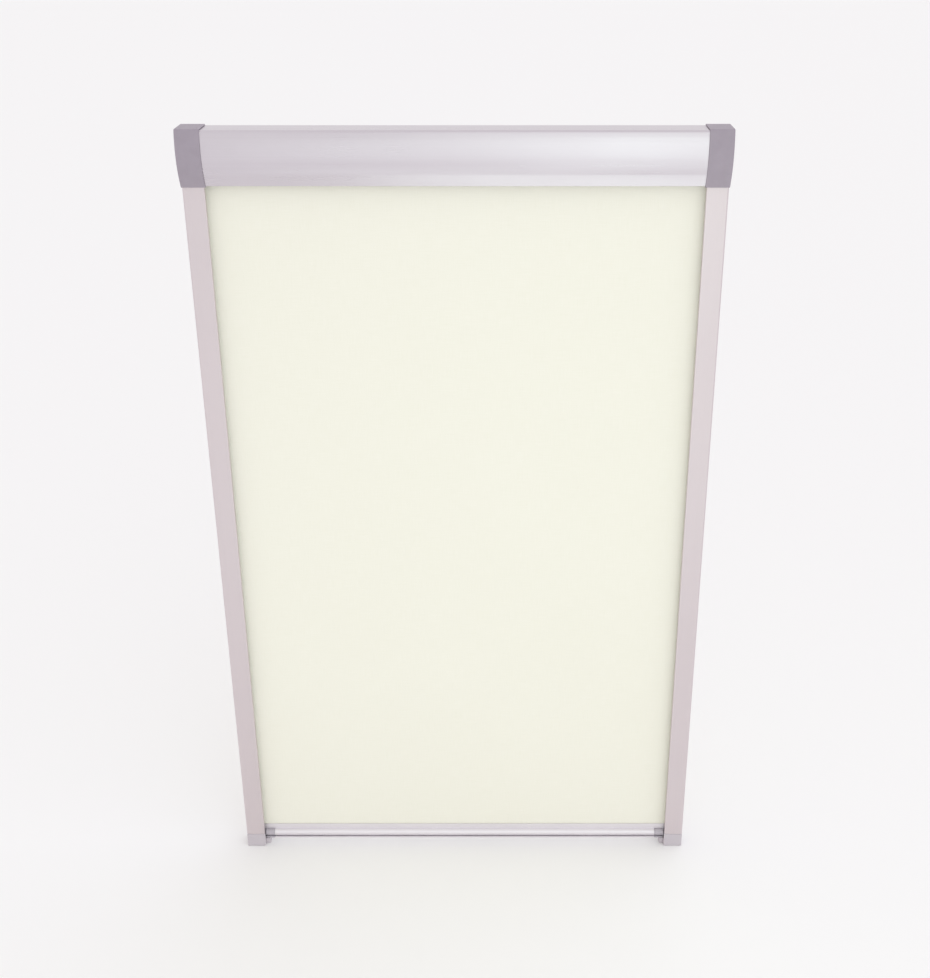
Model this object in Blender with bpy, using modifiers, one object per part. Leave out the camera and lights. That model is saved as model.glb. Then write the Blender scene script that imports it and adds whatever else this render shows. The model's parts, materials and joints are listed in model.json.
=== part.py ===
# A cordless roller blind for a roof window, closed, standing upright.
# X runs across the blind, +Y towards the glass and +Z up.
# The origin is the middle of the headbox's back face.
# A depth is measured from the back plane towards the room, so a depth d lies at y = -d.
# A reach is measured from the blind's outer side face towards its middle.

import math

import bmesh
import bpy
from mathutils import Matrix

MM = 0.001
LEFT, RIGHT = -1, 1
SIDES = ((LEFT, "left"), (RIGHT, "right"))
SMOOTH_ANGLE = math.radians(32)

# Whole blind
WIDTH = 611 * MM
HEIGHT = 990 * MM
GAP = 0.3 * MM  # clearance between two pieces that touch or slide

# Headbox: the outline of the end caps, which wrap the two extrusions
HEADBOX_HEIGHT = 65 * MM
HEADBOX_TOP_DEPTH = 35.2 * MM
HEADBOX_BOW = 4.1 * MM  # how far the front bows out of its chord
HEADBOX_CORNER = 2.5 * MM
LIP_HEIGHT = 13.5 * MM  # the band below the crease, which leans back
LIP_TOP_DEPTH = 33.8 * MM
LIP_BOTTOM_DEPTH = 27.5 * MM
CASE_WALL = 1.3 * MM
COVER_SPLIT_DEPTH = 24 * MM  # where the cover meets the back profile on top
COVER_TONGUE = 5 * MM
SLOT_REAR_ROOM = 4 * MM  # cloth slot under the headbox, behind and before the cloth
SLOT_FRONT_ROOM = 4.5 * MM
SLOT_UPSTAND = 3.5 * MM

# End caps
CAP_FACE_WIDTH = 27.5 * MM
CAP_WALL = 1.2 * MM
CAP_END_WALL = 3 * MM
CAP_EDGE = 0.5 * MM
BOSS_RADIUS = 6 * MM
BOSS_LENGTH = 5 * MM
BOSS_FLOOR = 0.8 * MM
CAP_FIXING_DEPTH = 20 * MM
CAP_FIXING_HEIGHT = -17 * MM
FIXING_HOLE_RADIUS = 2.1 * MM

# Self-tapping screws through the end caps into the back profile's ports
SCREW_RADIUS = 1.5 * MM
SCREW_HEAD_RADIUS = 2.9 * MM
SCREW_HEAD_HEIGHT = 1.7 * MM
SCREW_LENGTH = 14 * MM
PORT_WALL = 1.2 * MM
PORT_SINK = 0.6 * MM  # how deep the port's ring sinks into the walls beside it

# Side rails
RAIL_DEPTH = 23 * MM
RAIL_FACE_WIDTH = 25 * MM
RAIL_BACK_WIDTH = 23 * MM
RAIL_WALL = 1.6 * MM
RAIL_BACK_WALL = 1.4 * MM
RAIL_EDGE_RADIUS = 2 * MM
RIB = 0.9 * MM  # ribs and hooks that hold the pile seals
HOOK = 0.8 * MM
SLOT_SINK = 0.2 * MM  # the seal slot's floor lies this deep in the flange
RAIL_HOLE_INSET = 60 * MM

# Pile seals
SEAL_BASE_WIDTH = 5 * MM
SEAL_BASE_HEIGHT = 1 * MM
SEAL_PILE_WIDTH = 2.6 * MM

# Foot caps
FOOT_CAP_HEIGHT = 20 * MM
FOOT_CAP_PROUD = 0.3 * MM
FOOT_CAP_EDGE = 0.8 * MM
LEDGE_HEIGHT = 8.8 * MM
LEDGE_REACH = 6 * MM
LEDGE_REAR_ROOM = 1.5 * MM
LEDGE_FRONT_ROOM = 0.6 * MM
TONGUE_THICKNESS = 1 * MM  # tongues of the end caps and foot caps that locate the rails
TONGUE_LENGTH = 10 * MM
TONGUE_SIDE_ROOM = 5 * MM

# Cloth
CLOTH_DEPTH = 11.5 * MM
CLOTH_THICKNESS = 0.35 * MM
CLOTH_EDGE_REACH = 12.5 * MM
CLOTH_WRAPS_LEFT = 2  # turns left on the tube when the blind is closed

# Roller
TUBE_RADIUS = 8.5 * MM
TUBE_WALL = 1 * MM
TUBE_END_REACH = 10 * MM
KEYWAY_WIDTH = 2.6 * MM
KEYWAY_DEPTH = 1.8 * MM
ROLLER_HEIGHT = 4 * MM
PLUG_LENGTH = 14 * MM
PLUG_FLANGE = 1.2 * MM
PIN_RADIUS = 3 * MM
PIN_LENGTH = 20 * MM

# Spring motor
SHAFT_RADIUS = 2.5 * MM
SHAFT_FLAT = 2.4 * MM
SPRING_WIRE = 1 * MM
SPRING_RADIUS = 4.4 * MM  # to the middle of the wire
SPRING_TURNS = 22
SPRING_LENGTH = 120 * MM
SPRING_START_REACH = 36 * MM
NOSE_LENGTH = 8 * MM
COLLAR_THICKNESS = 3 * MM
DRIVER_LENGTH = 14 * MM

# Bottom bar
STRIP_HEIGHT = 7.9 * MM
STRIP_THICKNESS = 3.1 * MM
BAR_BACK_STEP = 1.4 * MM
GRIP_HEIGHT = 10 * MM
GRIP_BULGE = 5.6 * MM
GROOVE_HEIGHT = 1.2 * MM
LIP_PROUD = 4 * MM
LIP_THICKNESS = 2.1 * MM
KEYHOLE_RADIUS = 1.4 * MM
KEYHOLE_DROP = 3.4 * MM  # below the strip
CHAMBER_WALL = 1.2 * MM
CHAMBER_WEB = 0.7 * MM

# Bar ends, with their gliders and brakes
BAR_END_ROOM = 1 * MM
BAR_END_FACE = 12 * MM
BAR_END_PLUG = 12 * MM
GLIDER_ROOM = 0.5 * MM
GLIDER_EDGE = 0.8 * MM
POCKET_SIDE_WALL = 2.6 * MM
POCKET_END_WALL = 5 * MM
POCKET_DEPTH = 10 * MM
SHOE_THICKNESS = 4.8 * MM
SHOE_EDGE = 0.8 * MM
SHOE_STEM = 3 * MM
BRAKE_WIRE = 0.6 * MM
BRAKE_RADIUS = 2.1 * MM
BRAKE_TURNS = 4

# Heights
TOP = HEADBOX_HEIGHT / 2
UNDERSIDE = -HEADBOX_HEIGHT / 2
FOOT = TOP - HEIGHT
FOOT_CAP_TOP = FOOT + FOOT_CAP_HEIGHT
LEDGE_TOP = FOOT + LEDGE_HEIGHT
BAR_HEIGHT = STRIP_HEIGHT + GRIP_HEIGHT + GROOVE_HEIGHT + LIP_THICKNESS
BAR_BOTTOM = LEDGE_TOP + GAP
BAR_TOP = BAR_BOTTOM + BAR_HEIGHT
RAIL_TOP = UNDERSIDE - GAP
RAIL_BOTTOM = FOOT_CAP_TOP + GAP

# Depths
SLOT_REAR = CLOTH_DEPTH - SLOT_REAR_ROOM
SLOT_FRONT = CLOTH_DEPTH + SLOT_FRONT_ROOM
STRIP_FRONT = CLOTH_DEPTH + STRIP_THICKNESS / 2
STRIP_REAR = CLOTH_DEPTH - STRIP_THICKNESS / 2
BAR_REAR = STRIP_REAR - BAR_BACK_STEP
WRAPS_RADIUS = TUBE_RADIUS + GAP + CLOTH_WRAPS_LEFT * CLOTH_THICKNESS
ROLLER_DEPTH = CLOTH_DEPTH + CLOTH_THICKNESS / 2 + GAP + WRAPS_RADIUS

# Reaches
SEAL_SLOT_WIDTH = SEAL_BASE_WIDTH + 2 * GAP
SEAL_SLOT_HEIGHT = SEAL_BASE_HEIGHT + 2 * GAP - SLOT_SINK
GLIDER_START = RAIL_WALL + GAP + TONGUE_THICKNESS + GAP
GLIDER_END = RAIL_BACK_WIDTH - 2 * RIB - SEAL_SLOT_WIDTH - GAP
BAR_FACE_START = RAIL_FACE_WIDTH + BAR_END_ROOM
BAR_FACE_END = BAR_FACE_START + BAR_END_FACE
CASE_INSET = CAP_WALL + GAP
KEY_RADIUS = TUBE_RADIUS - KEYWAY_DEPTH
PORT_BORE = SCREW_RADIUS + GAP
PORT_RADIUS = PORT_BORE + PORT_WALL
PORT_DEPTH = CASE_WALL + PORT_RADIUS - PORT_SINK
PORT_HEIGHT = TOP - CASE_INSET - CASE_WALL - PORT_RADIUS + PORT_SINK


# Outlines

def arc(centre, radius, start, end, steps, flatten=1.0):
    """Points along an arc; flatten squeezes its second coordinate into an ellipse's."""
    angles = (start + (end - start) * i / steps for i in range(steps + 1))
    return [(centre[0] + radius * math.cos(a), centre[1] + radius * flatten * math.sin(a)) for a in angles]


def circle(centre, radius, steps=24):
    return arc(centre, radius, 0, math.tau, steps)[:-1]


def bowed(start, end, sagitta, steps):
    """Points from start to end on an arc that stands out of their chord, to the left of the way."""
    chord = math.dist(start, end)
    radius = (chord ** 2 / 4 + sagitta ** 2) / (2 * sagitta)
    half = math.asin(chord / 2 / radius)
    along = ((end[0] - start[0]) / chord, (end[1] - start[1]) / chord)
    left = (-along[1], along[0])
    points = []
    for i in range(steps + 1):
        angle = -half + 2 * half * i / steps
        forward = chord / 2 + radius * math.sin(angle)
        out = radius * math.cos(angle) - (radius - sagitta)
        points.append(tuple(start[k] + along[k] * forward + left[k] * out for k in (0, 1)))
    return points


def offset(points, distance, closed=True):
    """Each edge of the path moved to the right of its way by the distance."""
    def right(a, b):
        length = math.dist(a, b)
        return (b[1] - a[1]) / length, -(b[0] - a[0]) / length

    count = len(points)
    moved = []
    for i, point in enumerate(points):
        before = right(points[i - 1], point) if closed or i > 0 else None
        after = right(point, points[(i + 1) % count]) if closed or i < count - 1 else before
        before = before or after
        share = distance / (1 + before[0] * after[0] + before[1] * after[1])
        moved.append((point[0] + share * (before[0] + after[0]), point[1] + share * (before[1] + after[1])))
    return moved


def rounded(points, radii, steps=5):
    """The closed outline with the corners at the given places turned into arcs."""
    result = []
    for i, corner in enumerate(points):
        if i not in radii:
            result.append(corner)
            continue
        before, after = points[i - 1], points[(i + 1) % len(points)]
        to_before = [(before[k] - corner[k]) / math.dist(before, corner) for k in (0, 1)]
        to_after = [(after[k] - corner[k]) / math.dist(after, corner) for k in (0, 1)]
        half = math.acos(to_before[0] * to_after[0] + to_before[1] * to_after[1]) / 2
        room = 0.9 * min(math.dist(before, corner), math.dist(after, corner))
        run = min(radii[i] / math.tan(half), room)
        start = [corner[k] + run * to_before[k] for k in (0, 1)]
        end = [corner[k] + run * to_after[k] for k in (0, 1)]
        for step in range(steps + 1):
            t = step / steps
            weights = ((1 - t) ** 2, 2 * t * (1 - t) * math.sin(half), t ** 2)
            result.append(tuple(
                (weights[0] * start[k] + weights[1] * corner[k] + weights[2] * end[k]) / sum(weights)
                for k in (0, 1)))
    return result


def band(path, thickness):
    """A wall of even thickness to the right of an open path."""
    return path + offset(path, thickness, closed=False)[::-1]


def headbox_outline(inset):
    """Section of the headbox (depth, height), drawn in from the caps' outside but for the flat back."""
    crease = (LIP_TOP_DEPTH, UNDERSIDE + LIP_HEIGHT)
    front = bowed((HEADBOX_TOP_DEPTH, TOP), crease, HEADBOX_BOW, 14)
    whole = [(0, UNDERSIDE), (0, TOP), *front, (LIP_BOTTOM_DEPTH, UNDERSIDE)]
    drawn_in = offset(whole, inset)
    drawn_in[0] = (0, drawn_in[0][1])
    drawn_in[1] = (0, drawn_in[1][1])
    return rounded(drawn_in, {2: HEADBOX_CORNER})


def cover_path():
    """Outside of the cover: tongue under the back profile's top, jog up, bowed front, lip, upstand."""
    outline = headbox_outline(CASE_INSET)
    top = TOP - CASE_INSET
    bottom = UNDERSIDE + CASE_INSET
    tongue_height = top - CASE_WALL - GAP
    jog = COVER_SPLIT_DEPTH + GAP
    return [
        (COVER_SPLIT_DEPTH - COVER_TONGUE, tongue_height),
        (jog, tongue_height),
        (jog, top),
        *outline[2:],
        (SLOT_FRONT, bottom),
        (SLOT_FRONT, bottom + SLOT_UPSTAND),
    ]


def back_profile_path():
    """Outside of the back profile: upstand behind the cloth, lower lip, back wall, top wall."""
    top = TOP - CASE_INSET
    bottom = UNDERSIDE + CASE_INSET
    return [
        (SLOT_REAR, bottom + SLOT_UPSTAND),
        (SLOT_REAR, bottom),
        (0, bottom),
        (0, top),
        (COVER_SPLIT_DEPTH, top),
    ]


def port_outline(height, first_quarter, filled):
    """A screw port: three quarters of a ring, filled out to the corners where it meets two walls."""
    centre = (PORT_DEPTH, height)
    outer = []
    for quarter in range(first_quarter, first_quarter + 3):
        start = quarter * math.pi / 2
        points = arc(centre, PORT_RADIUS, start, start + math.pi / 2, 6)
        if quarter in filled:
            corner = arc(centre, PORT_RADIUS * math.sqrt(2), start + math.pi / 4, start, 1)[0]
            points = [points[0], corner, points[-1]]
        outer += points[1:] if outer else points
    end = (first_quarter + 3) * math.pi / 2
    return outer + arc(centre, PORT_BORE, end, end - math.pi * 3 / 2, 18)


def seal_slot(edge, face, inwards):
    """Ribs and hooks under a flange, from its free edge: (reach, depth) points."""
    floor = face - inwards * SLOT_SINK
    hook_root = face + inwards * SEAL_SLOT_HEIGHT
    hook_tip = hook_root + inwards * HOOK
    overhang = (SEAL_SLOT_WIDTH - SEAL_PILE_WIDTH - 2 * GAP) / 2
    near, far = edge - RIB, edge - RIB - SEAL_SLOT_WIDTH
    return [
        (edge, hook_tip),
        (near - overhang, hook_tip),
        (near - overhang, hook_root),
        (near, hook_root),
        (near, floor),
        (far, floor),
        (far, hook_root),
        (far + overhang, hook_root),
        (far + overhang, hook_tip),
        (far - RIB, hook_tip),
        (far - RIB, face),
    ]


def rail_outline():
    """U-shaped section of a side rail (reach, depth)."""
    front_face = RAIL_DEPTH - RAIL_WALL
    outline = [(0, 0), (0, RAIL_DEPTH), (RAIL_FACE_WIDTH, RAIL_DEPTH)]
    outline += seal_slot(RAIL_FACE_WIDTH, front_face, -1)
    outline += [(RAIL_WALL, front_face), (RAIL_WALL, RAIL_BACK_WALL)]
    outline += seal_slot(RAIL_BACK_WIDTH, RAIL_BACK_WALL, 1)[::-1]
    outline += [(RAIL_BACK_WIDTH, 0)]
    return rounded(outline, {0: HOOK, 1: RAIL_EDGE_RADIUS, 2: HOOK / 2})


def seal_outline(edge, face, tip, inwards):
    """A pile seal: flat base in the rail's slot, pile standing up to the tip."""
    base = face + inwards * (GAP - SLOT_SINK)
    shoulder = base + inwards * SEAL_BASE_HEIGHT
    middle = edge - RIB - SEAL_SLOT_WIDTH / 2
    half_base, half_pile = SEAL_BASE_WIDTH / 2, SEAL_PILE_WIDTH / 2
    pile_end = tip - inwards * half_pile
    crown = arc((middle, pile_end), half_pile, 0, math.pi, 6, inwards)
    return [
        (middle - half_base, base),
        (middle + half_base, base),
        (middle + half_base, shoulder),
        (middle + half_pile, shoulder),
        *crown,
        (middle - half_pile, shoulder),
        (middle - half_base, shoulder),
    ]


def grip_front():
    """Front of the bottom bar below its strip, from the bar's top down: bulge, groove, lip."""
    bulge_middle = -STRIP_HEIGHT - GRIP_HEIGHT / 2
    flatten = GRIP_HEIGHT / 2 / GRIP_BULGE
    bulge = arc((STRIP_FRONT, bulge_middle), GRIP_BULGE, math.pi / 2, -math.pi / 2, 18, flatten)
    groove_bottom = LIP_THICKNESS - BAR_HEIGHT
    return [
        *bulge,
        (STRIP_FRONT, groove_bottom),
        (STRIP_FRONT + LIP_PROUD, groove_bottom),
        (STRIP_FRONT + LIP_PROUD, -BAR_HEIGHT),
    ]


def bar_outline():
    """Section of the bottom bar (depth, height below its top), with the keyhole slot for the hem."""
    half_slot = CLOTH_THICKNESS / 2 + GAP
    mouth = math.asin(half_slot / KEYHOLE_RADIUS)
    keyhole = arc((CLOTH_DEPTH, -STRIP_HEIGHT - KEYHOLE_DROP), KEYHOLE_RADIUS,
                  math.pi / 2 + mouth, math.pi * 5 / 2 - mouth, 14)
    return [
        (BAR_REAR, -BAR_HEIGHT),
        (BAR_REAR, -STRIP_HEIGHT),
        (STRIP_REAR, -STRIP_HEIGHT),
        (STRIP_REAR, 0),
        (CLOTH_DEPTH - half_slot, 0),
        *keyhole,
        (CLOTH_DEPTH + half_slot, 0),
        (STRIP_FRONT, 0),
        *grip_front(),
    ]


def chamber_outline(inset=0.0):
    """The hollow behind the bar's grip, which takes the bar ends' plugs."""
    front = STRIP_FRONT + GRIP_BULGE - CHAMBER_WALL
    rear = CLOTH_DEPTH + KEYHOLE_RADIUS + CHAMBER_WEB
    across_radius = (front - rear) / 2
    up_radius = GRIP_HEIGHT / 2 - CHAMBER_WALL - GAP
    centre = ((front + rear) / 2, -STRIP_HEIGHT - GRIP_HEIGHT / 2)
    flatten = (up_radius - inset) / (across_radius - inset)
    return arc(centre, across_radius - inset, 0, math.tau, 16, flatten)[:-1]


def weight_chamber_outline():
    """The square hollow in the bar's foot, under the keyhole."""
    low = CHAMBER_WALL - BAR_HEIGHT
    high = -STRIP_HEIGHT - KEYHOLE_DROP - KEYHOLE_RADIUS - CHAMBER_WALL
    rear, front = BAR_REAR + CHAMBER_WALL, STRIP_FRONT - CHAMBER_WALL
    return [(rear, low), (rear, high), (front, high), (front, low)]


def bar_end_outline():
    """The moulded bar end's face: the bar's own section below the strip, without the hollows."""
    top = -STRIP_HEIGHT - GAP
    front = [point for point in grip_front() if point[1] < top]
    return [(BAR_REAR, -BAR_HEIGHT), (BAR_REAR, top), (STRIP_FRONT, top), *front]


def notched_circle(radius, notch_radius, notch_width, steps=40):
    """A circle with a square notch at its top, down to the notch radius."""
    half = math.asin(notch_width / 2 / radius)
    round_part = arc((0, 0), radius, math.pi / 2 + half, math.pi * 5 / 2 - half, steps)
    return [*round_part, (notch_width / 2, notch_radius), (-notch_width / 2, notch_radius)]


# Frames that place an outline or a turned shape

def across(x=0.0, height=0.0):
    """A (depth, height) outline stands across the blind at x."""
    turn = Matrix(((0, 0, -1, 0), (-1, 0, 0, 0), (0, 1, 0, 0), (0, 0, 0, 1)))
    return Matrix.Translation((x, 0, height)) @ turn


def along_rail(side, height):
    """A (reach, depth) outline lies flat at the given height and is drawn out up and down."""
    turn = Matrix(((-side, 0, 0, 0), (0, -1, 0, 0), (0, 0, side, 0), (0, 0, 0, 1)))
    return Matrix.Translation((side * WIDTH / 2, 0, height)) @ turn


def axle(side, reach=0.0, depth=ROLLER_DEPTH, height=ROLLER_HEIGHT):
    """Local +Z points from the blind's side towards its middle, and local +X up."""
    turn = Matrix(((0, 0, -side, 0), (0, side, 0, 0), (1, 0, 0, 0), (0, 0, 0, 1)))
    return Matrix.Translation((side * (WIDTH / 2 - reach), -depth, height)) @ turn


# Scene and objects

for old in list(bpy.data.objects):
    bpy.data.objects.remove(old, do_unlink=True)

blind = bpy.data.collections.new("skylight_window_blind")
cutters = bpy.data.collections.new("cutters")
for group in (blind, cutters):
    bpy.context.scene.collection.children.link(group)


def linear(hexadecimal):
    """Linear colour of an sRGB hex value."""
    channels = (int(hexadecimal[i:i + 2], 16) / 255 for i in (0, 2, 4))
    return [c / 12.92 if c <= 0.04045 else ((c + 0.055) / 1.055) ** 2.4 for c in channels] + [1.0]


def finish(name, colour, roughness, metallic=0.0):
    surface = bpy.data.materials.new(name)
    surface.use_nodes = True
    shader = surface.node_tree.nodes["Principled BSDF"]
    shader.inputs["Base Color"].default_value = linear(colour)
    shader.inputs["Roughness"].default_value = roughness
    shader.inputs["Metallic"].default_value = metallic
    return surface


FINISHES = {
    "headbox": ("D2CDD3", 0.38, 0.6),
    "rail": ("D8CFD3", 0.4, 0.6),
    "bar": ("D6D1D4", 0.35, 0.6),
    "cap": ("A39DA6", 0.5, 0.0),
    "foot": ("BFB6BD", 0.5, 0.0),
    "glider": ("B4AFB6", 0.5, 0.0),
    "pile": ("8E8A90", 0.9, 0.0),
    "cloth": ("F4F2E5", 0.85, 0.0),
    "steel": ("B8B8BA", 0.3, 1.0),
    "nylon": ("E4E2DC", 0.45, 0.0),
    "tube": ("C9CACC", 0.4, 0.9),
    "felt": ("4A484C", 0.95, 0.0),
}


def link(obj, look):
    """Puts a piece in the blind with its own material, or in the cutters when it has no look."""
    if look:
        blind.objects.link(obj)
        obj.data.materials.clear()
        obj.data.materials.append(finish(obj.name, *FINISHES[look]))
    else:
        cutters.objects.link(obj)
        obj.hide_render = True
        obj.display_type = "WIRE"
    return obj


def meshed(name, curve):
    """The curve's surface as one welded mesh."""
    drawn = bpy.data.objects.new(name + "_curve", curve)
    cutters.objects.link(drawn)
    graph = bpy.context.evaluated_depsgraph_get()
    mesh = bpy.data.meshes.new_from_object(drawn.evaluated_get(graph))
    bpy.data.objects.remove(drawn, do_unlink=True)
    bpy.data.curves.remove(curve)
    mesh.name = name
    shape = bmesh.new()
    shape.from_mesh(mesh)
    bmesh.ops.remove_doubles(shape, verts=shape.verts, dist=0.001 * MM)
    bmesh.ops.recalc_face_normals(shape, faces=shape.faces)
    shape.to_mesh(mesh)
    shape.free()
    mesh.shade_smooth()
    mesh.set_sharp_from_angle(angle=SMOOTH_ANGLE)
    return mesh


def prism(name, outlines, length, matrix, look=None):
    """A flat outline, with any holes, drawn out to both sides of its plane."""
    curve = bpy.data.curves.new(name, "CURVE")
    curve.dimensions = "2D"
    curve.fill_mode = "BOTH"
    curve.extrude = length / 2
    for outline in outlines:
        spline = curve.splines.new("POLY")
        spline.points.add(len(outline) - 1)
        for point, place in zip(spline.points, outline):
            point.co = (*place, 0, 1)
        spline.use_cyclic_u = True
    obj = bpy.data.objects.new(name, meshed(name, curve))
    obj.matrix_world = matrix
    return link(obj, look)


def box(name, x, y, z, look=None):
    """A block between (low, high) pairs, its origin at its middle."""
    mesh = bpy.data.meshes.new(name)
    shape = bmesh.new()
    bmesh.ops.create_cube(shape, size=1.0)
    size = Matrix.Diagonal((abs(x[1] - x[0]), abs(y[1] - y[0]), abs(z[1] - z[0]), 1))
    bmesh.ops.transform(shape, matrix=size, verts=shape.verts)
    shape.to_mesh(mesh)
    shape.free()
    obj = bpy.data.objects.new(name, mesh)
    obj.matrix_world = Matrix.Translation((sum(x) / 2, sum(y) / 2, sum(z) / 2))
    return link(obj, look)


def side_box(name, side, reach, depth, z, look=None):
    """A block given by its reaches and depths on one side of the blind."""
    x = [side * (WIDTH / 2 - r) for r in reach]
    y = [-d for d in depth]
    return box(name, x, y, z, look)


def turned(name, profile, matrix, look=None, bored=False, steps=32):
    """A profile of (radius, height) points turned about local Z; a bored one is a closed ring."""
    mesh = bpy.data.meshes.new(name)
    shape = bmesh.new()
    points = [shape.verts.new((radius, 0, height)) for radius, height in profile]
    following = points[1:] + points[:1] if bored else points[1:]
    for start, end in zip(points, following):
        shape.edges.new((start, end))
    shape.to_mesh(mesh)
    shape.free()
    obj = bpy.data.objects.new(name, mesh)
    obj.matrix_world = matrix
    turn = obj.modifiers.new("Turn", "SCREW")
    turn.steps = turn.render_steps = steps
    turn.use_merge_vertices = True
    turn.merge_threshold = 0.001 * MM
    turn.use_smooth_shade = True
    return link(obj, look)


def cylinder(name, radius, low, high, matrix, look=None, steps=32):
    return turned(name, [(0, high), (radius, high), (radius, low), (0, low)], matrix, look, steps=steps)


def ring(name, outer, inner, low, high, matrix, look=None, steps=32):
    profile = [(inner, high), (outer, high), (outer, low), (inner, low)]
    return turned(name, profile, matrix, look, bored=True, steps=steps)


def combine(obj, other, operation):
    step = obj.modifiers.new(other.name, "BOOLEAN")
    step.operation = operation
    step.object = other
    step.solver = "EXACT"


def cut(obj, *others):
    for other in others:
        combine(obj, other, "DIFFERENCE")


def weld(obj, *others):
    for other in others:
        combine(obj, other, "UNION")


def soften(obj, width, segments=2):
    bevel = obj.modifiers.new("Edges", "BEVEL")
    bevel.width = width
    bevel.segments = segments
    bevel.limit_method = "ANGLE"
    bevel.angle_limit = math.radians(40)


def coil(name, radius, wire, turns, low, high, matrix, look, per_turn=10):
    """A helical spring about local Z; the wire's middle runs from low to high."""
    curve = bpy.data.curves.new(name, "CURVE")
    curve.dimensions = "3D"
    curve.bevel_depth = wire / 2
    curve.bevel_resolution = 1
    curve.use_fill_caps = True
    count = turns * per_turn
    spline = curve.splines.new("POLY")
    spline.points.add(count)
    for i, point in enumerate(spline.points):
        angle = math.tau * i / per_turn
        height = low + (high - low) * i / count
        point.co = (radius * math.cos(angle), radius * math.sin(angle), height, 1)
    obj = bpy.data.objects.new(name, meshed(name, curve))
    obj.matrix_world = matrix
    return link(obj, look)


def carry(name, location, pieces):
    """An empty on the joint's axis that carries the pieces which move there."""
    carrier = bpy.data.objects.new(name, None)
    carrier.matrix_world = Matrix.Translation(location)
    blind.objects.link(carrier)
    for piece in pieces:
        piece.parent = carrier
        piece.matrix_parent_inverse = carrier.matrix_world.inverted()


# Headbox

def headbox_back_profile():
    length = WIDTH - 2 * (CAP_END_WALL + GAP)
    section = band(back_profile_path(), CASE_WALL)
    profile = prism("headbox_back_profile", [section], length, across(), "headbox")
    ports = ("upper", PORT_HEIGHT, 0, (1,)), ("lower", -PORT_HEIGHT, 1, (2, 3))
    for name, height, first_quarter, filled in ports:
        port = prism("port_" + name, [port_outline(height, first_quarter, filled)], length, across())
        weld(profile, port)


def headbox_cover():
    length = WIDTH - 2 * (CAP_END_WALL + GAP)
    prism("headbox_cover", [band(cover_path(), CASE_WALL)], length, across(), "headbox")


def end_cap(side, word):
    """A moulded sleeve over both extrusions, with the roller's bearing boss inside its end wall."""
    middle = side * (WIDTH / 2 - CAP_FACE_WIDTH / 2)
    cap = prism("end_cap_" + word, [headbox_outline(0)], CAP_FACE_WIDTH, across(middle), "cap")
    slot = side_box("cap_slot_" + word, side, (CAP_END_WALL + CAP_WALL, CAP_FACE_WIDTH + CAP_WALL),
                    (SLOT_REAR, SLOT_FRONT), (UNDERSIDE - CAP_WALL, UNDERSIDE + 2 * CAP_WALL))
    cut(cap, slot)
    soften(cap, CAP_EDGE)

    boss_end = CAP_END_WALL + BOSS_LENGTH
    if side == LEFT:
        socket_half = SHAFT_FLAT / 2 + GAP
        socket = side_box("cap_socket_left", side, (CAP_END_WALL + BOSS_FLOOR, boss_end + CAP_WALL),
                          (ROLLER_DEPTH - socket_half, ROLLER_DEPTH + socket_half),
                          (ROLLER_HEIGHT - SHAFT_RADIUS - GAP, ROLLER_HEIGHT + SHAFT_RADIUS + GAP))
    else:
        socket = cylinder("cap_socket_right", PIN_RADIUS + GAP, CAP_END_WALL + BOSS_FLOOR,
                          boss_end + CAP_WALL, axle(side))
    boss = cylinder("cap_boss_" + word, BOSS_RADIUS, -CAP_WALL, boss_end, axle(side))
    cut(boss, socket)

    hollow_outline = [(-CASE_WALL if depth == 0 else depth, height)
                      for depth, height in headbox_outline(CAP_WALL)]
    hollow_middle = side * (WIDTH / 2 - CAP_END_WALL - CAP_FACE_WIDTH / 2)
    hollow = prism("cap_hollow_" + word, [hollow_outline], CAP_FACE_WIDTH, across(hollow_middle))
    cut(hollow, boss)
    cut(cap, hollow)

    tongue_reach = (RAIL_WALL + GAP, RAIL_WALL + GAP + TONGUE_THICKNESS)
    tongue_depth = (TONGUE_SIDE_ROOM, RAIL_DEPTH - TONGUE_SIDE_ROOM)
    tongue_z = (UNDERSIDE - TONGUE_LENGTH, UNDERSIDE + CAP_WALL)
    tongue = side_box("cap_tongue_" + word, side, tongue_reach, tongue_depth, tongue_z)
    weld(cap, tongue)

    head = SCREW_HEAD_RADIUS + GAP
    shank = SCREW_RADIUS + GAP
    seat = [(0, 2 * CAP_END_WALL), (shank, 2 * CAP_END_WALL), (shank, SCREW_HEAD_HEIGHT + GAP),
            (head, GAP), (head, -CAP_WALL), (0, -CAP_WALL)]
    for name, height in (("upper", PORT_HEIGHT), ("lower", -PORT_HEIGHT)):
        place = axle(side, 0, PORT_DEPTH, height)
        cut(cap, turned(f"cap_seat_{word}_{name}", seat, place, steps=24))
        screw(f"cap_screw_{word}_{name}", place)
    fixing = cylinder("cap_fixing_" + word, FIXING_HOLE_RADIUS, -CAP_WALL, 2 * CAP_END_WALL,
                      axle(side, 0, CAP_FIXING_DEPTH, CAP_FIXING_HEIGHT), steps=24)
    cut(cap, fixing)


def screw(name, place):
    """A countersunk screw, its head just under the cap's outer face."""
    profile = [(0, SCREW_LENGTH), (SCREW_RADIUS / 2, SCREW_LENGTH),
               (SCREW_RADIUS, SCREW_LENGTH - SCREW_RADIUS), (SCREW_RADIUS, SCREW_HEAD_HEIGHT + GAP),
               (SCREW_HEAD_RADIUS, GAP), (0, GAP)]
    turned(name, profile, place, "steel", steps=20)


# Roller and spring motor

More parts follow.
